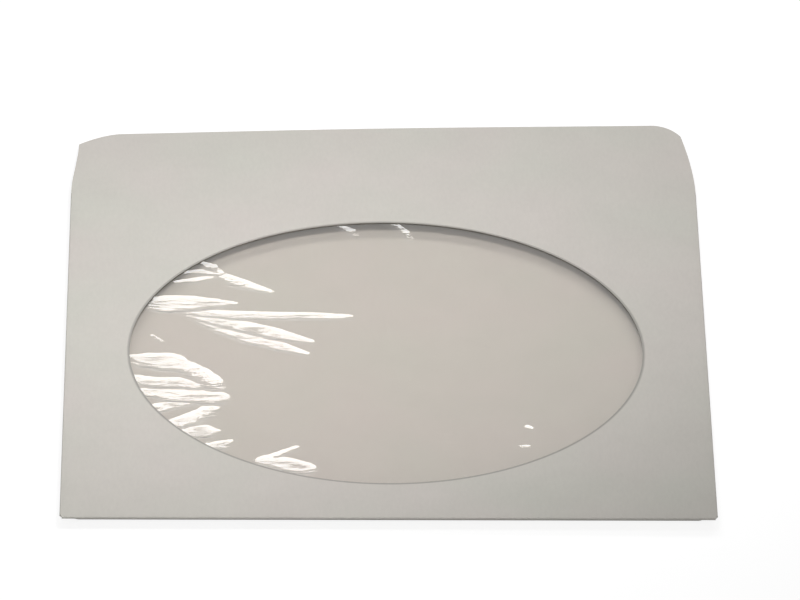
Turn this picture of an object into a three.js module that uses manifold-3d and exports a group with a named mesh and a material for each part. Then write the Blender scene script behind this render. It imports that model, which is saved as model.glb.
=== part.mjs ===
// A square paper sleeve with a round window, lying on its back with the window up and its flap open.
// One die-cut sheet makes the front, the flap, the back and two side tabs. A clear film patch is
// glued behind the window, and the tabs are glued to the inside of the back.
// Millimetres. +X is to the right as the window faces the reader, +Y runs from the bottom crease to
// the flap, +Z is up. The origin is the middle of the overall length and width, at the resting plane.

import * as THREE from "three";
import { mergeVertices } from "three/addons/utils/BufferGeometryUtils.js";
import Module from "manifold-3d";

const wasm = await Module();
wasm.setup();

// Sheet stock
const paperThickness = 0.13;
const filmThickness = 0.04;
const glueThickness = 0.03;

// Window, and the paper left around it as far as the side creases, the bottom crease and the
// flap's score line
const windowDiameter = 101.6;
const windowToSide = 12.7;
const windowToCrease = 13;
const windowToScore = 12.4;

// Film patch behind the window, and the ring of glue that holds it
const filmBorder = 5.2;
const glueToWindow = 1.4;
const glueToFilmEdge = 0.6;

// Pocket. Its gap is the clear height between the back and the film.
const pocketGap = 2.1;
const creaseRadius = 0.1;
const slopeWidth = 3.4;
const mouthStep = 1.5;
const backInset = 0.6;

// Side tabs, folded in from the front and glued to the inside of the back
const tabWidth = 12;
const tabEndSlant = 5;
const tabEndGap = 0.8;
const seamGlueWidth = 7;
const seamGlueInset = 0.3;
const seamGlueEndGap = 7;

// Flap, die-cut a little to the left, its right end lifted and its left end drooping
const flapLength = 25.4;
const flapTaper = 1.6;
const flapOffCentre = -0.6;
const flapCornerWidth = 5.8;
const flapCornerLength = 4.3;
const flapCornerBlend = 2.4;
const flapLiftRight = 1.6;
const flapLiftLeft = -1.1;

// Facets
const creaseSteps = 8;
const slopeSteps = 6;
const flapColumns = 16;
const flapRows = 6;
const windowSides = 120;
const curveSteps = 8;
const quarterTurn = Math.PI / 2;

// Heights of the front and of the creases. The front lies flat, and the back rises to meet it
// along its edges.
const halfSheet = paperThickness / 2;
const frontUnderside = paperThickness + pocketGap + filmThickness + glueThickness;
const frontMiddle = frontUnderside + halfSheet;
const tabAboveBack = paperThickness + glueThickness;
const sideRadius = creaseRadius + halfSheet;
const edgeRise = frontMiddle - 2 * sideRadius - tabAboveBack - halfSheet;
const bottomRadius = (frontMiddle - edgeRise - halfSheet) / 2;

// Places in the plan, from the centre line and the bottom crease
const sleeveWidth = windowDiameter + 2 * windowToSide;
const pocketLength = windowToCrease + windowDiameter + windowToScore;
const sideLine = sleeveWidth / 2 - sideRadius - halfSheet;
const bottomLine = bottomRadius + halfSheet;
const backHalfWidth = sideLine - backInset;
const backEnd = pocketLength - mouthStep;
const tabStart = bottomLine + tabEndGap;
const tabEnd = pocketLength - tabEndGap;
const tabInnerEdge = sideLine - tabWidth;
const windowCentre = windowToCrease + windowDiameter / 2;
const filmSide = windowDiameter + 2 * filmBorder;
const filmTop = frontUnderside - glueThickness;
const overallLength = pocketLength + flapLength;

// Stations of the folded sheet, closer together where it slopes
const slopePlaces = evenly(0, slopeWidth, slopeSteps);
const sidePlaces = inOrder([...slopePlaces.map((d) => sideLine - d), backHalfWidth]);
const endPlaces = inOrder([...slopePlaces.map((d) => bottomLine + d), tabStart]);

function evenly(from, to, steps) {
  return Array.from({ length: steps + 1 }, (_, i) => from + ((to - from) * i) / steps);
}

function inOrder(places) {
  return [...new Set(places)].sort((a, b) => a - b);
}

// 0 at the crease, easing up to 1 where the slope meets the flat of the sheet
function ease(distance) {
  const share = THREE.MathUtils.clamp(distance / slopeWidth, 0, 1);
  return (1 - Math.cos(Math.PI * share)) / 2;
}

// Height of the back's middle surface
function backMiddle(x, y) {
  const flatness = ease(sideLine - Math.abs(x)) * ease(y - bottomLine);
  return halfSheet + edgeRise * (1 - flatness);
}

// Height of the flap's middle surface, which twists from the score line to the free edge
function flapMiddle(x, y) {
  const acrossFlap = (x + sideLine) / (2 * sideLine);
  const liftAtEdge = THREE.MathUtils.lerp(flapLiftLeft, flapLiftRight, acrossFlap);
  return frontMiddle + (liftAtEdge * (y - pocketLength)) / flapLength;
}

// A closed three.js geometry as a solid that can be joined and cut
function solidOf(geometry) {
  geometry.deleteAttribute("normal");
  geometry.deleteAttribute("uv");
  const merged = mergeVertices(geometry, 1e-5);
  return new wasm.Manifold(
    new wasm.Mesh({
      numProp: 3,
      vertProperties: merged.attributes.position.array,
      triVerts: new Uint32Array(merged.index.array),
    }),
  );
}

// A solid as a three.js geometry with flat facets
function geometryOf(solid) {
  const { vertProperties, triVerts } = solid.getMesh();
  const shared = new THREE.BufferGeometry();
  shared.setAttribute("position", new THREE.BufferAttribute(vertProperties, 3));
  shared.setIndex(new THREE.BufferAttribute(triVerts, 1));
  const faceted = shared.toNonIndexed();
  faceted.computeVertexNormals();
  return faceted;
}

// A slab of the sheet between stations. bend takes a place on the slab and a height within the
// thickness of the sheet, and gives the point's place once the sheet is folded.
function slab(across, along, bend) {
  const columns = across.length - 1;
  const rows = along.length - 1;
  const geometry = new THREE.BoxGeometry(1, 1, 1, columns, rows, 1);
  const corners = geometry.attributes.position;
  const toTenthMicron = (length) => Math.round(length * 1e4) / 1e4;
  for (let i = 0; i < corners.count; i += 1) {
    const u = across[Math.round((corners.getX(i) + 0.5) * columns)];
    const v = along[Math.round((corners.getY(i) + 0.5) * rows)];
    const offset = corners.getZ(i) * paperThickness;
    corners.setXYZ(i, ...bend(u, v, offset).map(toTenthMicron));
  }
  return solidOf(geometry);
}

// An upright prism over a closed outline, from one height to another
function prism(outline, bottom, top) {
  const settings = { depth: top - bottom, bevelEnabled: false, curveSegments: curveSteps };
  return solidOf(new THREE.ExtrudeGeometry(outline, settings).translate(0, 0, bottom));
}

function rectangle(left, right, low, high) {
  return new THREE.Shape([
    new THREE.Vector2(left, low),
    new THREE.Vector2(right, low),
    new THREE.Vector2(right, high),
    new THREE.Vector2(left, high),
  ]);
}

function windowCut() {
  const radius = windowDiameter / 2;
  const height = 4 * frontMiddle;
  const cutter = new THREE.CylinderGeometry(radius, radius, height, windowSides);
  return solidOf(cutter.rotateX(Math.PI / 2).translate(0, windowCentre, frontMiddle + height / 4));
}

// Each side of the flap bends in from its side crease and runs to a sharp corner, which is cut off
// at a slant with a soft turn into the free edge.
function flapOutline() {
  const outline = new THREE.Shape();
  const shoulder = overallLength - flapCornerLength;
  const bend = (shoulder - pocketLength) / 2;
  const tip = (side) => flapOffCentre + side * (sideLine - flapTaper);
  const straight = (side) => tip(side) - side * flapCornerWidth;
  outline.moveTo(-sideLine, pocketLength);
  outline.lineTo(sideLine, pocketLength);
  outline.bezierCurveTo(sideLine, pocketLength + bend, tip(1), shoulder - bend, tip(1), shoulder);
  const slant = flapCornerLength / flapCornerWidth;
  const turn = (side) => straight(side) + side * flapCornerBlend;
  const turnStart = overallLength - slant * flapCornerBlend;
  outline.lineTo(turn(1), turnStart);
  outline.quadraticCurveTo(straight(1), overallLength, straight(1) - flapCornerBlend, overallLength);
  outline.lineTo(straight(-1) + flapCornerBlend, overallLength);
  outline.quadraticCurveTo(straight(-1), overallLength, turn(-1), turnStart);
  outline.lineTo(tip(-1), shoulder);
  outline.bezierCurveTo(tip(-1), shoulder - bend, -sideLine, pocketLength + bend, -sideLine, pocketLength);
  return outline;
}

function front() {
  const flat = slab([-sideLine, sideLine], [bottomLine, pocketLength], (x, y, up) => [
    x,
    y,
    frontMiddle + up,
  ]);
  return flat.subtract(windowCut());
}

function flap() {
  const twisted = slab(
    evenly(-sideLine, sideLine, flapColumns),
    evenly(pocketLength, overallLength, flapRows),
    (x, y, up) => [x, y, flapMiddle(x, y) + up],
  );
  const reach = Math.abs(flapLiftLeft) + Math.abs(flapLiftRight) + paperThickness;
  return twisted.intersect(prism(flapOutline(), frontMiddle - reach, frontMiddle + reach));
}

function bottomCrease() {
  const creaseHeight = frontMiddle - bottomRadius;
  const turns = evenly(-quarterTurn, quarterTurn, creaseSteps);
  return slab([-backHalfWidth, backHalfWidth], turns, (x, turn, out) => {
    const reach = bottomRadius + out;
    return [x, bottomLine - reach * Math.cos(turn), creaseHeight + reach * Math.sin(turn)];
  });
}

function back() {
  const side = sidePlaces.filter((x) => x <= backHalfWidth);
  const across = inOrder([...side.map((x) => -x), ...side]);
  return slab(across, [...endPlaces, backEnd], (x, y, up) => [x, y, backMiddle(x, y) + up]);
}

function sideCrease(side) {
  const creaseHeight = frontMiddle - sideRadius;
  const turns = evenly(side * quarterTurn, -side * quarterTurn, creaseSteps);
  return slab(turns, [tabStart, tabEnd], (turn, y, out) => {
    const reach = sideRadius + out;
    const x = side * (sideLine + reach * Math.cos(turn));
    return [x, y, creaseHeight + reach * Math.sin(turn)];
  });
}

// The tab follows the back, one layer of glue above it, and its ends slant in from the crease.
function sideTab(side) {
  const across = inOrder([tabInnerEdge, ...sidePlaces].map((x) => side * x));
  const along = [...endPlaces.filter((y) => y >= tabStart), tabEnd];
  const bent = slab(across, along, (x, y, up) => [x, y, backMiddle(x, y) + tabAboveBack + up]);
  const outline = new THREE.Shape([
    new THREE.Vector2(side * sideLine, tabStart),
    new THREE.Vector2(side * tabInnerEdge, tabStart + tabEndSlant),
    new THREE.Vector2(side * tabInnerEdge, tabEnd - tabEndSlant),
    new THREE.Vector2(side * sideLine, tabEnd),
  ]);
  return bent.intersect(prism(outline, -frontMiddle, 2 * frontMiddle));
}

// The whole sheet: its panels meet at their creases and make one piece.
function sleevePaper() {
  const panels = [flap(), bottomCrease(), back()];
  for (const side of [-1, 1]) panels.push(sideCrease(side), sideTab(side));
  return panels.reduce((sheet, panel) => sheet.add(panel), front());
}

function windowFilm() {
  const half = filmSide / 2;
  const patch = rectangle(-half, half, windowCentre - half, windowCentre + half);
  return prism(patch, filmTop - filmThickness, filmTop);
}

function windowGlue() {
  const half = filmSide / 2 - glueToFilmEdge;
  const square = rectangle(-half, half, windowCentre - half, windowCentre + half);
  const opening = new THREE.Path();
  opening.absarc(0, windowCentre, windowDiameter / 2 + glueToWindow, 0, 2 * Math.PI, true);
  square.holes.push(opening);
  const settings = { depth: glueThickness, bevelEnabled: false, curveSegments: windowSides / 2 };
  return solidOf(new THREE.ExtrudeGeometry(square, settings).translate(0, 0, filmTop));
}

function seamGlue(side) {
  const outer = side * (sideLine - slopeWidth - seamGlueInset);
  const inner = outer - side * seamGlueWidth;
  const [left, right] = inOrder([outer, inner]);
  const strip = rectangle(left, right, tabStart + seamGlueEndGap, tabEnd - seamGlueEndGap);
  return prism(strip, paperThickness, tabAboveBack);
}

const whitePaper = new THREE.MeshStandardMaterial({ color: 0xcfccc6, roughness: 0.85, metalness: 0 });
const clearFilm = new THREE.MeshStandardMaterial({
  color: 0xf6f7f8,
  roughness: 0.08,
  metalness: 0,
  transparent: true,
  opacity: 0.2,
});
const driedGlue = new THREE.MeshStandardMaterial({ color: 0xe4dfd0, roughness: 0.5, metalness: 0 });

const sleeve = new THREE.Group();
sleeve.position.set(0, -overallLength / 2, 0);

function place(name, solid, material) {
  const mesh = new THREE.Mesh(geometryOf(solid), material);
  mesh.name = name;
  sleeve.add(mesh);
}

place("sleeve_paper", sleevePaper(), whitePaper);
place("window_film", windowFilm(), clearFilm);
place("window_glue", windowGlue(), driedGlue);
place("left_seam_glue", seamGlue(-1), driedGlue);
place("right_seam_glue", seamGlue(1), driedGlue);

export default sleeve;
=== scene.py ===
# %% [markdown]
# A paper sleeve with a round window.
# The real object is one die-cut sheet of white paper, folded and glued into a pocket, with a patch
# of clear film behind a round window. This file loads the engineer's model as a fixed frame and
# then dresses it: a finely bent sheet, a wrinkled film, and the finish of both.

# %% Load the frame
import math

import bmesh
import bpy
from mathutils import Matrix, Vector, noise


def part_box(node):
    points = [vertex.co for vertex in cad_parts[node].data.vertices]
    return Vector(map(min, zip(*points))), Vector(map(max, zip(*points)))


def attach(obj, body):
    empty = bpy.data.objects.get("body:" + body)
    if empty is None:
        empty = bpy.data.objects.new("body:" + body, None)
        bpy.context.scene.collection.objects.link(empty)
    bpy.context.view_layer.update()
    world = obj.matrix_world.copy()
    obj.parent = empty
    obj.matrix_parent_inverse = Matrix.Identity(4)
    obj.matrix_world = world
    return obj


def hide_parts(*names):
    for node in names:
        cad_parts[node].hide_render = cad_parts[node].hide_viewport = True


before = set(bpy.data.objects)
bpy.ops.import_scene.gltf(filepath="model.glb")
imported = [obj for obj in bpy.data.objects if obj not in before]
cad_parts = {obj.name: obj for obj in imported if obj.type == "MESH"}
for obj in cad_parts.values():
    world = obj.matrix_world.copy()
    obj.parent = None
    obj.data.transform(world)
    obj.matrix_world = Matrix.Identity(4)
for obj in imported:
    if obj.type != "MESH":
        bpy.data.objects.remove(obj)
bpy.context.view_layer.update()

# %% [markdown]
# Blender works in metres, and paper is measured in millimetres, so one factor turns one into the
# other. The places of the window, the film and the creases are read from the frame's own solids,
# so the fine surface lies where the plain one does. Here the bottom crease is a little tighter and
# the back a little wider than in the plain model.

# %% Sizes
MM = 0.001
SHEET = 0.13 * MM
CREASE_RADIUS = 0.1 * MM + SHEET / 2
SLOPE_WIDTH = 3.4 * MM
BACK_INSET = 0.2 * MM
MOUTH_STEP = 1.5 * MM
TAB_WIDTH = 12 * MM
TAB_SLANT = 5 * MM
TAB_END_GAP = 0.8 * MM
FLAP_LENGTH = 25.4 * MM

paper_low, paper_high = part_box("sleeve_paper")
film_low, film_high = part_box("window_film")
glue_low, glue_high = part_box("window_glue")
_, seam_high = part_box("left_seam_glue")

FRONT = glue_high.z + SHEET / 2
SIDE_LINE = paper_high.x - CREASE_RADIUS - SHEET / 2
TAB_ABOVE_BACK = seam_high.z
EDGE_RISE = FRONT - 2 * CREASE_RADIUS - TAB_ABOVE_BACK - SHEET / 2
BOTTOM_RADIUS = 0.15 * MM
BOTTOM_LINE = paper_low.y + BOTTOM_RADIUS + SHEET / 2
SCORE_LINE = paper_high.y - FLAP_LENGTH
WINDOW_CENTRE = Vector((0, (film_low.y + film_high.y) / 2))
WINDOW_RADIUS = 50.8 * MM
print("front of the sleeve lies", round(FRONT / MM, 2), "mm above the table")

# %% [markdown]
# The camera looks down at the sleeve from about 30 degrees, from far away through a long lens, as
# someone photographs a flat thing on a table. It is aimed at a point on the sleeve, and the
# distance is part of the match: a nearer camera would make the sleeve's sides lean in more.

# %% Camera
PHOTO_WIDTH = 800
FOCAL_PIXELS = 10461
SENSOR = 36.0
AZIMUTH = math.radians(0.82)
ELEVATION = math.radians(30.2)
ROLL = math.radians(0.56)
AIM_RIGHT = 2.94 * MM
AIM_ABOVE_CREASE = 83.53 * MM
AIM = Vector((AIM_RIGHT, AIM_ABOVE_CREASE + paper_low.y, FRONT + SHEET / 2))
DISTANCE = 2089 * MM
FARTHEST_SEEN = 20


def add_camera():
    level = math.cos(ELEVATION)
    ahead = Vector((math.sin(AZIMUTH) * level, math.cos(AZIMUTH) * level, -math.sin(ELEVATION)))
    right = ahead.cross(Vector((0, 0, 1))).normalized()
    up = right.cross(ahead)
    right, up = (
        right * math.cos(ROLL) + up * math.sin(ROLL),
        up * math.cos(ROLL) - right * math.sin(ROLL),
    )
    data = bpy.data.cameras.new("camera")
    data.sensor_width = SENSOR
    data.lens = FOCAL_PIXELS * SENSOR / PHOTO_WIDTH
    data.clip_end = FARTHEST_SEEN
    camera = bpy.data.objects.new("camera", data)
    bpy.context.scene.collection.objects.link(camera)
    camera.matrix_world = Matrix.Translation(AIM - ahead * DISTANCE) @ Matrix(
        (right, up, -ahead)
    ).transposed().to_4x4()
    bpy.context.scene.camera = camera
    return camera


camera = add_camera()
print("lens", round(camera.data.lens, 1), "mm at", round(DISTANCE, 2), "m")

# %% [markdown]
# Every surface here is a sheet bent out of a flat shape. Each patch of sheet is a grid of points,
# and a small function says where a point of the flat sheet goes once it is folded. The patches
# share their edges, so the points there are merged and the sheet is one piece. A Solidify modifier
# then gives it its thickness. Edges that turn more than the sharp angle keep a crisp line.

# %% Helpers for sheets
MERGE_DISTANCE = 0.002 * MM
SHARP_ANGLE = math.radians(40)


def evenly(start, end, steps):
    return [start + (end - start) * i / steps for i in range(steps + 1)]


def patch(build, across, along, place):
    """Adds a grid of faces whose points are place(u, v)."""
    rows = [[build.verts.new(place(u, v)) for u in across] for v in along]
    for low, high in zip(rows, rows[1:]):
        for i in range(len(low) - 1):
            build.faces.new((low[i], low[i + 1], high[i + 1], high[i]))


def thick_sheet(name, build, thickness):
    """Merges the patches, gives them thickness, and makes a smooth-shaded object."""
    bmesh.ops.remove_doubles(build, verts=build.verts, dist=MERGE_DISTANCE)
    bmesh.ops.recalc_face_normals(build, faces=build.faces)
    flat = bpy.data.meshes.new(name + "_flat")
    build.to_mesh(flat)
    build.free()
    draft = bpy.data.objects.new(name + "_draft", flat)
    bpy.context.scene.collection.objects.link(draft)
    solidify = draft.modifiers.new("thickness", "SOLIDIFY")
    solidify.thickness = thickness
    solidify.offset = 0
    solidify.use_even_offset = True
    evaluated = draft.evaluated_get(bpy.context.evaluated_depsgraph_get())
    mesh = bpy.data.meshes.new_from_object(evaluated)
    bpy.data.objects.remove(draft)
    mesh.name = name
    for polygon in mesh.polygons:
        polygon.use_smooth = True
    mesh.set_sharp_from_angle(angle=SHARP_ANGLE)
    piece = bpy.data.objects.new(name, mesh)
    bpy.context.scene.collection.objects.link(piece)
    return piece


# %% [markdown]
# Real paper is never quite flat. The front sways by a tenth of a millimetre or so and is held
# level at its creases, the flap remembers its fold, twists and bows up, and the back rises to meet
# the front along the creases. These heights are functions of the place on the sheet, so that the
# paper, its glue and the film can all follow the same one.

# %% Shape of the folded sheet
SWAY = 0.12 * MM
SWAY_LENGTH = 46 * MM
SWAY_SLICE = 0.3
SWAY_EDGE = 9 * MM
FLAP_LIFT_LEFT = -1.1 * MM
FLAP_LIFT_RIGHT = 1.6 * MM
FLAP_BOW = 0.35 * MM
PINCH_WIDTH = 0.8 * MM


def ease(share):
    share = min(max(share, 0), 1)
    return (1 - math.cos(math.pi * share)) / 2


def front_height(x, y):
    """Height of the middle of the sheet in the front and the flap."""
    near_edge = min(SIDE_LINE - abs(x), y - BOTTOM_LINE) / SWAY_EDGE
    spot = Vector((x, y, SWAY_SLICE * SWAY_LENGTH)) / SWAY_LENGTH
    sway = SWAY * noise.noise(spot) * ease(near_edge)
    if y <= SCORE_LINE:
        return FRONT + sway
    along = (y - SCORE_LINE) / FLAP_LENGTH
    across = (x + SIDE_LINE) / (2 * SIDE_LINE)
    twist = FLAP_LIFT_LEFT + (FLAP_LIFT_RIGHT - FLAP_LIFT_LEFT) * across
    bow = FLAP_BOW * math.sin(math.pi * across)
    return FRONT + sway + (twist + bow) * along


def back_height(x, y):
    """Height of the middle of the sheet in the back."""
    flat = ease((SIDE_LINE - abs(x)) / SLOPE_WIDTH) * ease((y - BOTTOM_LINE) / SLOPE_WIDTH)
    height = SHEET / 2 + EDGE_RISE * (1 - flat)
    at_crease = FRONT - 2 * BOTTOM_RADIUS
    pinch = 1 - ease((y - BOTTOM_LINE) / PINCH_WIDTH)
    return height + (at_crease - SHEET / 2 - EDGE_RISE) * pinch


# %% [markdown]
# The panels meet along lines, and a line that two panels share needs the same points in both. So
# the places across and along the sheet are listed once, closer together on the slopes beside the
# creases. The tabs end a little short of the score line, which leaves room for the fold there,
# and the flap starts a little wider than the front.

# %% Stations shared by the panels
SLOPE_STEPS = 8
HALF_FRONT_STEPS = 26
LENGTH_STEPS = 54
TAB_CLEARANCE = 0.3 * MM
FLAP_OVERHANG = 0.2 * MM
BACK_HALF = SIDE_LINE - BACK_INSET
TAB_START = BOTTOM_LINE + TAB_END_GAP
TAB_END = SCORE_LINE - TAB_CLEARANCE
FLAP_ROOT = SIDE_LINE + FLAP_OVERHANG
BACK_END = SCORE_LINE - MOUTH_STEP

inside_slope = SIDE_LINE - SLOPE_WIDTH
side_slope = [inside_slope + SLOPE_WIDTH * i / SLOPE_STEPS for i in range(1, SLOPE_STEPS)]
level_half = evenly(0, inside_slope, HALF_FRONT_STEPS)
half_across = sorted({*level_half, *side_slope, BACK_HALF, SIDE_LINE})
ACROSS = sorted({-x for x in half_across} | set(half_across))
end_slope = [BOTTOM_LINE + SLOPE_WIDTH * i / SLOPE_STEPS for i in range(SLOPE_STEPS + 1)]
level_length = evenly(end_slope[-1], TAB_END, LENGTH_STEPS)
ALONG = sorted({*end_slope, *level_length, TAB_START, SCORE_LINE})
BACK_ACROSS = [x for x in ACROSS if abs(x) <= BACK_HALF]
TAB_ALONG = [y for y in ALONG if TAB_START <= y <= TAB_END]
print("places across and along the sheet:", len(ACROSS), "and", len(ALONG))

# %% [markdown]
# The front has a round hole in a square field. A square grid would leave a ragged rim, so the grid
# runs in rings: each point on the field's outline is joined to the point of the circle that lies
# in the same direction, and the rings between them blend from one to the other. They crowd
# towards the rim, where the eye looks.

# %% Front
RING_STEPS = 18
RING_CROWDING = 1.3


def front_outline():
    """Points round the front's field, from the bottom left corner and back to it."""
    bottom = [(x, BOTTOM_LINE) for x in ACROSS]
    right = [(SIDE_LINE, y) for y in ALONG[1:-1]]
    top = [(x * FLAP_ROOT / SIDE_LINE, SCORE_LINE) for x in reversed(ACROSS)]
    left = [(-SIDE_LINE, y) for y in reversed(ALONG[:-1])]
    return [Vector(point) for point in bottom + right + top + left]


def add_front(build):
    field = front_outline()
    rim = [WINDOW_CENTRE + (p - WINDOW_CENTRE).normalized() * WINDOW_RADIUS for p in field]

    def place(ring, point):
        spot = rim[point].lerp(field[point], ring)
        return (*spot, front_height(*spot))

    rings = [share**RING_CROWDING for share in evenly(0, 1, RING_STEPS)]
    patch(build, rings, range(len(field)), place)


# %% [markdown]
# The flap is die-cut. Its left side bends in along an S and its right side bulges, and each ends
# in a corner that is cut off along a curve, wider at the left. A curve is drawn from the corner to
# the free edge by a point that pulls it outwards. Rows of the grid run from one side of that
# outline to the other and lie closer together where the corner is cut.

# %% Flap
FLAP_TAPER = 1.6 * MM
FLAP_OFF_CENTRE = -0.6 * MM
CORNER_LENGTH = 4.3 * MM
SHOULDER = paper_high.y - CORNER_LENGTH
LEFT_CUT_WIDTH = 8.2 * MM
LEFT_CUT_PULL = (4.4 * MM, 0.5 * MM)
RIGHT_CUT_WIDTH = 5.4 * MM
RIGHT_CUT_PULL = (2.0 * MM, 0.6 * MM)
RIGHT_BULGE = 1.7
SIDE_STEPS = 16
CUT_STEPS = 12


def left_inset(share):
    """How far in the left side has come, on its way from the score line to the corner."""
    return share * share * (3 - 2 * share)


def right_inset(share):
    """The same for the right side, which comes in late."""
    return share**RIGHT_BULGE


def flap_side(side, inset, cut_width, pull):
    """Points down one side of the flap's outline, from the score line to the free edge."""
    tip = Vector((FLAP_OFF_CENTRE + side * (SIDE_LINE - FLAP_TAPER), SHOULDER))
    points = []
    for share in evenly(0, 1, SIDE_STEPS):
        x = side * FLAP_ROOT + (tip.x - side * FLAP_ROOT) * inset(share)
        points.append(Vector((x, SCORE_LINE + (SHOULDER - SCORE_LINE) * share)))
    end = Vector((tip.x - side * cut_width, paper_high.y))
    control = Vector((tip.x - side * pull[0], paper_high.y - pull[1]))
    for t in evenly(0, 1, CUT_STEPS)[1:]:
        points.append(tip * (1 - t) ** 2 + control * 2 * t * (1 - t) + end * t * t)
    return points


def add_flap(build):
    left = flap_side(-1, left_inset, LEFT_CUT_WIDTH, LEFT_CUT_PULL)
    right = flap_side(1, right_inset, RIGHT_CUT_WIDTH, RIGHT_CUT_PULL)
    shares = [(x + SIDE_LINE) / (2 * SIDE_LINE) for x in ACROSS]

    def place(share, row):
        x, y = left[row].lerp(right[row], share)
        return (x, y, front_height(x, y))

    patch(build, shares, range(len(left)), place)


# %% [markdown]
# At a crease the sheet turns right round in a tight half circle. The bottom crease leads into the
# back, and each side crease leads into a tab that lies on the back, one layer of glue above it.
# A tab's ends are cut at a slant, so that it slips in without catching.

# %% Creases, tabs and back
TURN_STEPS = 8
TAB_STEPS = 4
HALF_TURN = evenly(math.pi / 2, -math.pi / 2, TURN_STEPS)


def add_bottom_crease(build):
    centre = FRONT - BOTTOM_RADIUS

    def place(x, turn):
        y = BOTTOM_LINE - BOTTOM_RADIUS * math.cos(turn)
        return (x, y, centre + BOTTOM_RADIUS * math.sin(turn))

    patch(build, BACK_ACROSS, HALF_TURN, place)


def add_side_crease(build, side):
    centre = FRONT - CREASE_RADIUS

    def place(turn, y):
        x = side * (SIDE_LINE + CREASE_RADIUS * math.cos(turn))
        return (x, y, centre + CREASE_RADIUS * math.sin(turn))

    patch(build, HALF_TURN, TAB_ALONG, place)


def add_back(build):
    rows = [y for y in ALONG if y < BACK_END] + [BACK_END]
    patch(build, BACK_ACROSS, rows, lambda x, y: (x, y, back_height(x, y)))


def add_tab(build, side):
    inner = SIDE_LINE - TAB_WIDTH
    across = [*evenly(inner, inside_slope, TAB_STEPS), *side_slope, SIDE_LINE]
    middle = (TAB_START + TAB_END) / 2
    half = (TAB_END - TAB_START) / 2

    def place(x, y):
        shrink = 1 - TAB_SLANT / half * (SIDE_LINE - x) / TAB_WIDTH
        slid = middle + (y - middle) * shrink
        return (side * x, slid, back_height(x, slid) + TAB_ABOVE_BACK)

    patch(build, across, TAB_ALONG, place)


def make_paper():
    build = bmesh.new()
    add_front(build)
    add_flap(build)
    add_bottom_crease(build)
    add_back(build)
    for side in (-1, 1):
        add_side_crease(build, side)
        add_tab(build, side)
    return thick_sheet("folded_sheet", build, SHEET)


paper = make_paper()
print("folded sheet has", len(paper.data.polygons), "faces")

# %% [markdown]
# The film is glued down all round the window by a ring of glue, and it sways with the paper. It is
# thinner than a hair, so it never stays flat where nothing holds it: the glue shrinks as it dries
# and puckers the film into troughs that run in from the rim, most of all along the left. Each
# trough is a soft valley along a short line, given by points and widths. The troughs only go
# down, because the paper's rim holds the film from above.

# %% Troughs in the film
# Each point is x and y from the window's centre and the trough's half width, in millimetres.
TROUGHS = [
    [
        (-46.6, 20.5, 1.4),
        (-43.4, 19.4, 5.4),
        (-39.0, 19.5, 5.0),
        (-34.0, 19.2, 3.0),
        (-29.8, 18.6, 0.8),
    ],
    [
        (-42.0, 15.6, 1.0),
        (-37.0, 15.2, 2.0),
        (-30.0, 14.4, 2.6),
        (-13.0, 14.0, 2.2),
        (-7.0, 13.6, 1.0),
    ],
    [
        (-40.0, 14.2, 1.0),
        (-34.0, 12.2, 2.6),
        (-28.0, 10.0, 3.4),
        (-22.0, 7.4, 3.4),
        (-15.0, 3.8, 1.2),
    ],
    [
        (-39.0, 13.0, 0.8),
        (-33.0, 9.0, 2.6),
        (-27.0, 5.4, 3.2),
        (-21.0, 2.2, 2.6),
        (-16.0, -0.8, 1.2),
    ],
    [(-41.9, 27.0, 1.0), (-38.1, 27.9, 1.6), (-34.1, 29.4, 1.2)],
    [(-40.1, 30.7, 1.0), (-37.1, 31.4, 1.5), (-34.3, 30.6, 1.2)],
    [(-37.3, 35.0, 1.2), (-34.7, 33.4, 1.8), (-33.1, 31.0, 1.4)],
    [(-34.3, 31.0, 1.6), (-29.0, 27.0, 3.0), (-23.0, 23.4, 1.2)],
    [(-46.4, 5.8, 0.8), (-44.4, 3.5, 0.8)],
    [
        (-50.5, -2.3, 1.2),
        (-46.7, -3.0, 4.6),
        (-43.4, -3.4, 5.6),
        (-40.0, -5.6, 3.6),
        (-37.0, -8.2, 3.6),
        (-34.9, -11.2, 3.6),
        (-33.9, -13.4, 2.8),
    ],
    [(-49.6, -10.6, 2.4), (-45.5, -12.0, 3.2), (-41.0, -11.9, 3.2), (-37.6, -13.2, 2.4)],
    [(-47.6, -15.6, 2.6), (-42.6, -16.6, 3.6), (-37.5, -17.0, 4.4), (-34.0, -17.6, 4.2)],
    [(-46.0, -22.4, 3.0), (-42.5, -20.8, 2.6), (-38.5, -19.6, 2.0)],
    [(-43.0, -28.9, 2.6), (-38.6, -26.1, 3.4), (-35.6, -23.6, 3.0), (-34.6, -21.6, 2.4)],
    [(-41.0, -32.6, 2.4), (-36.6, -30.4, 4.0), (-33.2, -31.0, 0.8)],
    [(-35.2, -36.6, 1.4), (-32.7, -36.0, 2.4), (-30.6, -34.8, 0.7)],
    [(-23.2, -41.6, 3.2), (-19.8, -42.9, 3.9), (-17.0, -44.2, 3.7), (-16.2, -44.6, 1.2)],
    [(-22.0, -40.1, 1.2), (-17.7, -37.0, 0.7)],
    [(-9.0, 49.7, 1.2), (-6.9, 48.1, 1.8), (-5.3, 45.4, 1.0)],
    [(2.2, 50.6, 1.2), (4.0, 47.7, 1.8), (5.8, 43.8, 1.0)],
    [(27.4, -29.0, 0.8), (28.0, -29.6, 0.8)],
    [(27.0, -36.4, 0.7), (27.4, -36.6, 0.7)],
]
print("the film has", len(TROUGHS), "troughs")

# %% [markdown]
# A trough's depth follows from its width and from how steep its far flank is, because the slope is
# what decides where it mirrors the lamp. The near flank is shorter and steeper, and tilts the
# other way, so it mirrors no lamp. Where troughs meet, a high power of their depths is summed, so
# that the deeper one wins without a hard edge. A little noise crumples them, and they fade out
# over the strip of film that lies between the rim and the glue.

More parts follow.
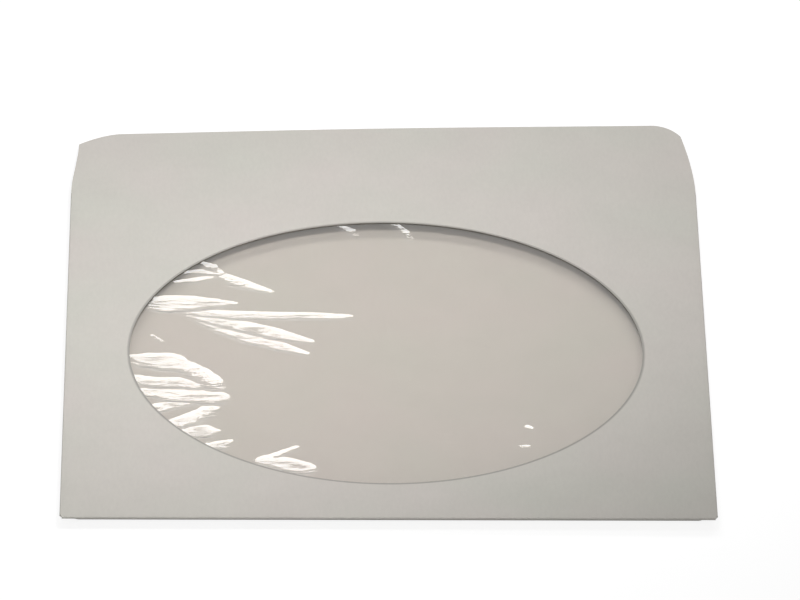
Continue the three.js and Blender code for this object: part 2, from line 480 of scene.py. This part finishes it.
# %% Shape of the film
FILM = 0.04 * MM
HOLD = 1.4 * MM
STEEPNESS = 0.165
NEAR_FLANK = 0.45
REACH = 8
REACH_NEARER = 12
MEETING_POWER = 4
CRUMPLE = 0.3
CRUMPLE_LENGTH = 5.0
CRUMPLE_WIDTH = 1.3
CRUMPLE_SLICE = 2.0


def trough_depth(x, y, trough):
    """Depth of one trough at a place from the window's centre, all in millimetres."""
    deepest = 0.0
    for (x0, y0, w0), (x1, y1, w1) in zip(trough, trough[1:]):
        in_reach_across = min(x0, x1) - REACH < x < max(x0, x1) + REACH
        if not (in_reach_across and min(y0, y1) - REACH_NEARER < y < max(y0, y1) + REACH):
            continue
        # The far flank is what shines, and the points say where that flank lies.
        start = Vector((x0, y0 - w0 / 2))
        step = Vector((x1, y1 - w1 / 2)) - start
        share = min(max((Vector((x, y)) - start).dot(step) / step.length_squared, 0), 1)
        width = w0 + (w1 - w0) * share
        offset = Vector((x, y)) - start - step * share
        flank = width * (1 if offset.y > 0 else NEAR_FLANK)
        away = math.hypot(offset.x / width, offset.y / flank)
        if away < 1:
            deepest = max(deepest, width * (1 + math.cos(math.pi * away)) / 2)
    return deepest * STEEPNESS * 2 / math.pi


def film_height(x, y):
    """Height of the middle of the film, which follows the front and sinks into the troughs."""
    flat = film_high.z - FILM / 2 + (front_height(x, y) - FRONT)
    across, along = x / MM, (y - WINDOW_CENTRE.y) / MM
    depths = [trough_depth(across, along, trough) for trough in TROUGHS]
    depth = sum(d**MEETING_POWER for d in depths) ** (1 / MEETING_POWER)
    spot = Vector((across / CRUMPLE_LENGTH, along / CRUMPLE_WIDTH, CRUMPLE_SLICE))
    depth *= 1 + CRUMPLE * noise.noise(spot)
    held = ease((WINDOW_RADIUS + HOLD - math.hypot(x, y - WINDOW_CENTRE.y)) / HOLD)
    return flat - depth * MM * held


# %% [markdown]
# The film's grid is fine only where the troughs lie, at the left and in a few spots. Elsewhere
# the film is nearly flat and wide faces do. Each point also stores how far it has sunk, so that the
# material can crease the film in the troughs and leave the rest smooth.

# %% Film
COARSE = 1.5 * MM
FINE_ACROSS = 0.4 * MM
FINE_ALONG = 0.42 * MM
FINE_COLUMNS = [(-52 * MM, 7 * MM), (26 * MM, 29 * MM)]
FINE_ROWS = [(-50 * MM, 36 * MM), (43 * MM, 52 * MM)]
FULLY_PUCKERED = 0.12 * MM


def lines(low, high, fine, spans):
    """Grid lines from low to high, closer together inside the spans. All in metres."""
    places = []
    place = low
    while place < high - fine / 2:
        places.append(place)
        place += fine if any(a <= place < b for a, b in spans) else COARSE
    return places + [high]


def make_film():
    build = bmesh.new()
    centre = WINDOW_CENTRE.y
    across = lines(film_low.x, film_high.x, FINE_ACROSS, FINE_COLUMNS)
    rows = [(centre + a, centre + b) for a, b in FINE_ROWS]
    along = lines(film_low.y, film_high.y, FINE_ALONG, rows)
    patch(build, across, along, lambda x, y: (x, y, film_height(x, y)))
    return thick_sheet("clear_window", build, FILM)


def mark_puckers(film):
    """Stores on each point how much the film is puckered there, from 0 to 1, for its material."""
    puckers = film.data.attributes.new("pucker", "FLOAT", "POINT")
    for point, mark in zip(film.data.vertices, puckers.data):
        x, y, z = point.co
        sunk = film_high.z - FILM + (front_height(x, y) - FRONT) - z
        mark.value = min(max(sunk / FULLY_PUCKERED, 0), 1)


film = make_film()
mark_puckers(film)
print("film has", len(film.data.polygons), "faces")

# %% [markdown]
# The ring of glue is round inside and square outside. Rings of points, like those of the front,
# make this too, and since it follows the same heights, it stays between the paper and the film. It
# starts where the film is first held, a little outside the rim, so that no glue shows.

# %% Ring of glue
GLUE = glue_high.z - glue_low.z
GLUE_RADIUS = WINDOW_RADIUS + HOLD
GLUE_SIDE_STEPS = 48
GLUE_RING_STEPS = 4


def make_glue():
    build = bmesh.new()
    half = (glue_high.x - glue_low.x) / 2
    steps = evenly(-half, half, GLUE_SIDE_STEPS)
    field = [Vector((x, -half)) for x in steps]
    field += [Vector((half, y)) for y in steps[1:]]
    field += [Vector((x, half)) for x in steps[-2::-1]]
    field += [Vector((-half, y)) for y in steps[-2::-1]]

    def place(ring, point):
        spot = WINDOW_CENTRE + (field[point].normalized() * GLUE_RADIUS).lerp(field[point], ring)
        return (*spot, front_height(*spot) - FRONT + glue_low.z + GLUE / 2)

    patch(build, evenly(0, 1, GLUE_RING_STEPS), range(len(field)), place)
    return thick_sheet("film_glue", build, GLUE)


glue = make_glue()
print("glue ring has", len(glue.data.polygons), "faces")

# %% [markdown]
# A material is a small network of nodes. One function adds a node of any kind: its inputs are
# given either as plain values or as the output of another node, which is then linked. A Mix node
# has inputs of one name for each kind of value, so its two colours go by their numbers.

# %% Helpers for materials
FIRST_COLOUR, SECOND_COLOUR, MIXED_COLOUR = 6, 7, 2


def linear(hex_colour):
    """The linear colour that Blender needs for an sRGB hex value such as D2CFC9."""
    parts = [int(hex_colour[i : i + 2], 16) / 255 for i in (0, 2, 4)]
    return (*[c / 12.92 if c <= 0.04045 else ((c + 0.055) / 1.055) ** 2.4 for c in parts], 1)


def add_node(tree, kind, inputs=(), **settings):
    """Adds a node, sets its settings, and fills its inputs with values or links."""
    node = tree.nodes.new(kind)
    for name, value in settings.items():
        setattr(node, name, value)
    for name, value in dict(inputs).items():
        if isinstance(value, bpy.types.NodeSocket):
            tree.links.new(value, node.inputs[name])
        else:
            node.inputs[name].default_value = value
    return node


def new_material(name):
    material = bpy.data.materials.new(name)
    material.use_nodes = True
    material.node_tree.nodes.clear()
    return material, material.node_tree


def finish(piece, material):
    """Gives a piece one material in place of what it had."""
    piece.data.materials.clear()
    piece.data.materials.append(material)


# %% [markdown]
# The sheet is uncoated wood-free paper of about 100 grams a square metre, made on a paper machine
# and lightly rolled smooth. It is matt, so it has no highlight of its own. Held against light it
# looks cloudy, where the pulp settled unevenly, and that shows faintly on its face too, in clouds
# about 9 mm across and a slower drift between a warmer and a cooler white. Fibres are about 1 mm
# long and 0.03 mm wide and mostly lie along the sheet, as the machine ran. That is too fine to
# show, so they are drawn as streaks 0.5 mm wide and 1.5 mm long, and the face's grain as bumps
# 0.8 mm across.

# %% Colour of the pulp
CLOUD_SIZE = 9 * MM
DRIFT_SIZE = 26 * MM
STREAK_WIDTH = 0.5 * MM
STREAK_LENGTH = 1.5 * MM


def pulp_colour(tree, place):
    clouds = add_node(
        tree,
        "ShaderNodeTexNoise",
        {"Vector": place, "Scale": 1 / CLOUD_SIZE, "Detail": 3.0, "Roughness": 0.6},
    )
    streaks_place = add_node(
        tree,
        "ShaderNodeMapping",
        {"Vector": place, "Scale": (1 / STREAK_WIDTH, 1 / STREAK_LENGTH, 1 / MM)},
    )
    streaks = add_node(
        tree,
        "ShaderNodeTexNoise",
        {"Vector": streaks_place.outputs[0], "Scale": 1.0, "Detail": 2.0},
    )
    shades = [
        add_node(
            tree,
            "ShaderNodeMapRange",
            {
                "Value": pattern.outputs["Fac"],
                "From Min": 0.3,
                "From Max": 0.7,
                "To Min": 0.985,
                "To Max": 1.015,
            },
        ).outputs[0]
        for pattern in (clouds, streaks)
    ]
    shade = add_node(tree, "ShaderNodeMath", dict(enumerate(shades)), operation="MULTIPLY")
    drift = add_node(
        tree, "ShaderNodeTexNoise", {"Vector": place, "Scale": 1 / DRIFT_SIZE, "Detail": 1.0}
    )
    pulp = add_node(
        tree,
        "ShaderNodeMix",
        {
            "Factor": drift.outputs["Fac"],
            FIRST_COLOUR: linear("D3CAC6"),
            SECOND_COLOUR: linear("CBCCC2"),
        },
        data_type="RGBA",
    )
    return add_node(
        tree,
        "ShaderNodeVectorMath",
        {0: pulp.outputs[MIXED_COLOUR], "Scale": shade.outputs[0]},
        operation="SCALE",
    ).outputs[0]


# %% [markdown]
# The photo shows a thin dark line round the window. It is taken for the shade along a rim that the
# die pressed, too shallow to model, so the ring is painted shade, set by its distance from the
# window's centre. Only the front has it, which a test of the height sees to.

# %% Painted shade at the window's rim
# The ring of painted shade is darkest just outside the rim and fades out a little farther on.
RIM_DARKEST = WINDOW_RADIUS + 0.25 * MM
RIM_END = WINDOW_RADIUS + 0.6 * MM
PAINTED_RIM_SHADE = 0.6


def painted_rim_shade(tree, place):
    """Painted shade: below 1 at the window's rim on the front, and 1 everywhere else."""
    from_centre = add_node(
        tree, "ShaderNodeVectorMath", {0: place, 1: (*WINDOW_CENTRE, 0)}, operation="SUBTRACT"
    )
    flat = add_node(
        tree,
        "ShaderNodeVectorMath",
        {0: from_centre.outputs[0], 1: (1, 1, 0)},
        operation="MULTIPLY",
    )
    distance = add_node(tree, "ShaderNodeVectorMath", {0: flat.outputs[0]}, operation="LENGTH")
    # Painted shade: the paper's colour darkens in a thin ring just outside the window.
    painted_shade_ring = add_node(
        tree,
        "ShaderNodeMapRange",
        {
            "Value": distance.outputs["Value"],
            "From Min": RIM_DARKEST,
            "From Max": RIM_END,
            "To Min": PAINTED_RIM_SHADE,
            "To Max": 1.0,
        },
    )
    height = add_node(tree, "ShaderNodeSeparateXYZ", {"Vector": place})
    below_front = add_node(
        tree,
        "ShaderNodeMath",
        {0: height.outputs["Z"], 1: FRONT - SHEET},
        operation="LESS_THAN",
    )
    return add_node(
        tree,
        "ShaderNodeMath",
        {0: painted_shade_ring.outputs[0], 1: below_front.outputs[0]},
        operation="MAXIMUM",
    ).outputs[0]


# %% [markdown]
# The paper's colour and the painted shade at its rim are multiplied, and a fine bump breaks up the
# light as a surface of pressed fibres does. A high roughness keeps it matt.

# %% Uncoated paper
GRAIN_SIZE = 0.8 * MM
GRAIN_DEPTH = 0.02 * MM


def uncoated_paper():
    material, tree = new_material("uncoated_paper")
    place = add_node(tree, "ShaderNodeTexCoord").outputs["Object"]
    # The paper's colour is multiplied by the painted shade at the window's rim.
    colour = add_node(
        tree,
        "ShaderNodeVectorMath",
        {0: pulp_colour(tree, place), "Scale": painted_rim_shade(tree, place)},
        operation="SCALE",
    )
    grain = add_node(
        tree, "ShaderNodeTexNoise", {"Vector": place, "Scale": 1 / GRAIN_SIZE, "Detail": 2.0}
    )
    bump = add_node(
        tree,
        "ShaderNodeBump",
        {"Height": grain.outputs["Fac"], "Distance": GRAIN_DEPTH, "Strength": 0.6},
    )
    surface = add_node(
        tree,
        "ShaderNodeBsdfPrincipled",
        {
            "Base Color": colour.outputs[0],
            "Roughness": 0.88,
            "IOR": 1.5,
            "Normal": bump.outputs[0],
        },
    )
    add_node(tree, "ShaderNodeOutputMaterial", {"Surface": surface.outputs[0]})
    return material


finish(paper, uncoated_paper())
print("paper:", paper.data.materials[0].name)

# %% [markdown]
# The window is cast polypropylene film, chilled on a polished roller, so both faces are glossy and
# clear, with an index of refraction of 1.49. The film is glass to the camera. To shadow rays, and
# to light that paper has scattered, a Light Path node makes it plain see-through: without the
# first the inside of the pocket would be black, and without the second Cycles would count the
# lamps twice there. Handling leaves a faint haze of scuffs, which shows as slightly rougher
# patches, and the troughs carry fine creases roughly along their length.

# %% Clear polypropylene film
SCUFF_SIZE = 7 * MM
CREASE_LENGTH = 7 * MM
CREASE_SPACING = 1.1 * MM
CREASE_DEPTH = 0.10 * MM


def clear_film():
    material, tree = new_material("clear_polypropylene")
    place = add_node(tree, "ShaderNodeTexCoord").outputs["Object"]
    scuffs = add_node(
        tree, "ShaderNodeTexNoise", {"Vector": place, "Scale": 1 / SCUFF_SIZE, "Detail": 4.0}
    )
    haze = add_node(
        tree,
        "ShaderNodeMapRange",
        {
            "Value": scuffs.outputs["Fac"],
            "From Min": 0.35,
            "From Max": 0.75,
            "To Min": 0.015,
            "To Max": 0.06,
        },
    )
    stretched = add_node(
        tree,
        "ShaderNodeMapping",
        {"Vector": place, "Scale": (1 / CREASE_LENGTH, 1 / CREASE_SPACING, 0)},
    )
    creases = add_node(
        tree,
        "ShaderNodeTexNoise",
        {"Vector": stretched.outputs[0], "Scale": 1.0, "Detail": 3.0, "Distortion": 0.5},
    )
    puckered = add_node(tree, "ShaderNodeAttribute", attribute_name="pucker")
    bump = add_node(
        tree,
        "ShaderNodeBump",
        {
            "Strength": puckered.outputs["Fac"],
            "Distance": CREASE_DEPTH,
            "Height": creases.outputs["Fac"],
        },
    )
    glass = add_node(
        tree,
        "ShaderNodeBsdfPrincipled",
        {
            "Base Color": linear("FBFAF7"),
            "Roughness": haze.outputs[0],
            "IOR": 1.49,
            "Transmission Weight": 1.0,
            "Normal": bump.outputs[0],
        },
    )
    through = add_node(tree, "ShaderNodeBsdfTransparent", {"Color": linear("F4F1EF")})
    path = add_node(tree, "ShaderNodeLightPath").outputs
    lighting = add_node(
        tree,
        "ShaderNodeMath",
        {0: path["Is Shadow Ray"], 1: path["Is Diffuse Ray"]},
        operation="MAXIMUM",
    )
    mixed = add_node(
        tree,
        "ShaderNodeMixShader",
        {0: lighting.outputs[0], 1: glass.outputs[0], 2: through.outputs[0]},
    )
    add_node(tree, "ShaderNodeOutputMaterial", {"Surface": mixed.outputs[0]})
    return material


finish(film, clear_film())
print("film:", film.data.materials[0].name)

# %% [markdown]
# The glue is a dried dispersion glue, the white kind that dries clear and a little yellow. A
# roller laid it on, so it is slightly streaky. The glue of the two side seams is not dressed: the
# plain solids stay, hidden between tab and back, and only take the same finish.

# %% Dried dispersion glue
GLUE_STREAK = 3 * MM


def dispersion_glue():
    material, tree = new_material("dispersion_glue")
    place = add_node(tree, "ShaderNodeTexCoord").outputs["Object"]
    streaks = add_node(
        tree, "ShaderNodeTexNoise", {"Vector": place, "Scale": 1 / GLUE_STREAK, "Detail": 3.0}
    )
    colour = add_node(
        tree,
        "ShaderNodeMix",
        {
            "Factor": streaks.outputs["Fac"],
            FIRST_COLOUR: linear("DDD9CC"),
            SECOND_COLOUR: linear("D2CDBE"),
        },
        data_type="RGBA",
    )
    surface = add_node(
        tree,
        "ShaderNodeBsdfPrincipled",
        {"Base Color": colour.outputs[MIXED_COLOUR], "Roughness": 0.45, "IOR": 1.47},
    )
    add_node(tree, "ShaderNodeOutputMaterial", {"Surface": surface.outputs[0]})
    return material


glue_finish = dispersion_glue()
finish(glue, glue_finish)
for name in ("left_seam_glue", "right_seam_glue"):
    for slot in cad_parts[name].material_slots:
        slot.material = glue_finish
print("finishes:", [material.name for material in bpy.data.materials])

# %% [markdown]
# A film shows its wrinkles only by what they mirror. From the camera, flat film mirrors the place
# behind the sleeve at the camera's own height above the table. A wide lamp stands a little above
# that place, so the film stays clear where it is flat and shines where a trough tilts it a few
# degrees. A small key lamp hangs near the left of the sleeve and makes the paper brighter there
# than at the far corner. The film doesn't mirror it, because it would show as a white patch from
# above. A broad lamp in front fills in the near edge. The camera sees none of the three.

# %% Lamps
SOFTBOX_DISTANCE = 1.2
SOFTBOX_ELEVATION = math.radians(43)


def add_lamp(name, place, aim, width, height, power):
    data = bpy.data.lights.new(name, "AREA")
    data.shape = "RECTANGLE"
    data.size = width
    data.size_y = height
    data.energy = power
    lamp = bpy.data.objects.new(name, data)
    lamp.location = place
    lamp.rotation_euler = (Vector(aim) - Vector(place)).to_track_quat("-Z", "Y").to_euler()
    lamp.visible_camera = False
    bpy.context.scene.collection.objects.link(lamp)
    return lamp


behind = SOFTBOX_DISTANCE * math.cos(SOFTBOX_ELEVATION)
above = SOFTBOX_DISTANCE * math.sin(SOFTBOX_ELEVATION)
softbox = add_lamp(
    "rear_softbox", place=(0, behind, above), aim=(0, -0.01, 0), width=1.12, height=0.34, power=5.8
)
key = add_lamp(
    "key_lamp",
    place=(0.015, -0.042, 0.196),
    aim=(-0.30, 0.276, 0),
    width=0.08,
    height=0.08,
    power=0.36,
)
key.visible_glossy = False
fill = add_lamp(
    "front_fill", place=(0, -1.04, 0.6), aim=(0, 0, 0), width=1.0, height=0.8, power=3.2
)
print("lamps in watts:", {lamp.name: round(lamp.data.energy, 2) for lamp in (softbox, key, fill)})

# %% [markdown]
# The sleeve lies on a pale table before a white background. To the camera, and in what the film
# mirrors or lets through, both show as white, by a Light Path node. To the rest of the light the
# table is pale and the world is dim, so they don't wash out the shadow under the sleeve. The
# table lies a hair below the sleeve, because two faces at one height flicker.

# %% Table and background
TABLE_HALF = 4.0
TABLE_DROP = 0.02 * MM
TABLE_GLOW = 0.86
DIM_WORLD = 0.12


def seen_directly(tree):
    """1 for rays from the camera, from gloss and through film, and 0 once light has scattered."""
    path = add_node(tree, "ShaderNodeLightPath").outputs
    seen = path["Is Camera Ray"]
    for ray in ("Is Glossy Ray", "Is Transmission Ray"):
        either = add_node(tree, "ShaderNodeMath", {0: seen, 1: path[ray]}, operation="MAXIMUM")
        seen = either.outputs[0]
    unscattered = add_node(
        tree, "ShaderNodeMath", {0: path["Diffuse Depth"], 1: 0.5}, operation="LESS_THAN"
    )
    return add_node(
        tree, "ShaderNodeMath", {0: seen, 1: unscattered.outputs[0]}, operation="MULTIPLY"
    ).outputs[0]


def pale_table():
    material, tree = new_material("pale_table")
    pale = add_node(tree, "ShaderNodeBsdfDiffuse", {"Color": linear("DCDCDC")})
    shadow = add_node(tree, "ShaderNodeBsdfDiffuse", {"Color": linear("8C8C8C")})
    glow = add_node(tree, "ShaderNodeEmission", {"Strength": TABLE_GLOW})
    white = add_node(tree, "ShaderNodeAddShader", {0: shadow.outputs[0], 1: glow.outputs[0]})
    mixed = add_node(
        tree,
        "ShaderNodeMixShader",
        {0: seen_directly(tree), 1: pale.outputs[0], 2: white.outputs[0]},
    )
    add_node(tree, "ShaderNodeOutputMaterial", {"Surface": mixed.outputs[0]})
    return material


def white_world():
    world = bpy.data.worlds.new("white_background")
    world.use_nodes = True
    tree = world.node_tree
    tree.nodes.clear()
    level = add_node(
        tree,
        "ShaderNodeMapRange",
        {"Value": seen_directly(tree), "To Min": DIM_WORLD, "To Max": 1.0},
    )
    sky = add_node(
        tree, "ShaderNodeBackground", {"Color": (1, 1, 1, 1), "Strength": level.outputs[0]}
    )
    add_node(tree, "ShaderNodeOutputWorld", {"Surface": sky.outputs[0]})
    bpy.context.scene.world = world


table_mesh = bpy.data.meshes.new("table")
corners = [(-1, -1), (1, -1), (1, 1), (-1, 1)]
table_mesh.from_pydata([(x * TABLE_HALF, y * TABLE_HALF, 0) for x, y in corners], [], [range(4)])
table = bpy.data.objects.new("table", table_mesh)
table.location.z = -TABLE_DROP
table.data.materials.append(pale_table())
bpy.context.scene.collection.objects.link(table)
white_world()
print("table is", 2 * TABLE_HALF, "m wide")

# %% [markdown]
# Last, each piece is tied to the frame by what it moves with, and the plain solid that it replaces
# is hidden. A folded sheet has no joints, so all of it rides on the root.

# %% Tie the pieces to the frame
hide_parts("sleeve_paper")
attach(paper, "root")
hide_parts("window_film")
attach(film, "root")
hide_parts("window_glue")
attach(glue, "root")

# %% [markdown]
# The Standard view shows colours as they are, without a film look.

# %% Finish
bpy.context.scene.view_settings.view_transform = "Standard"
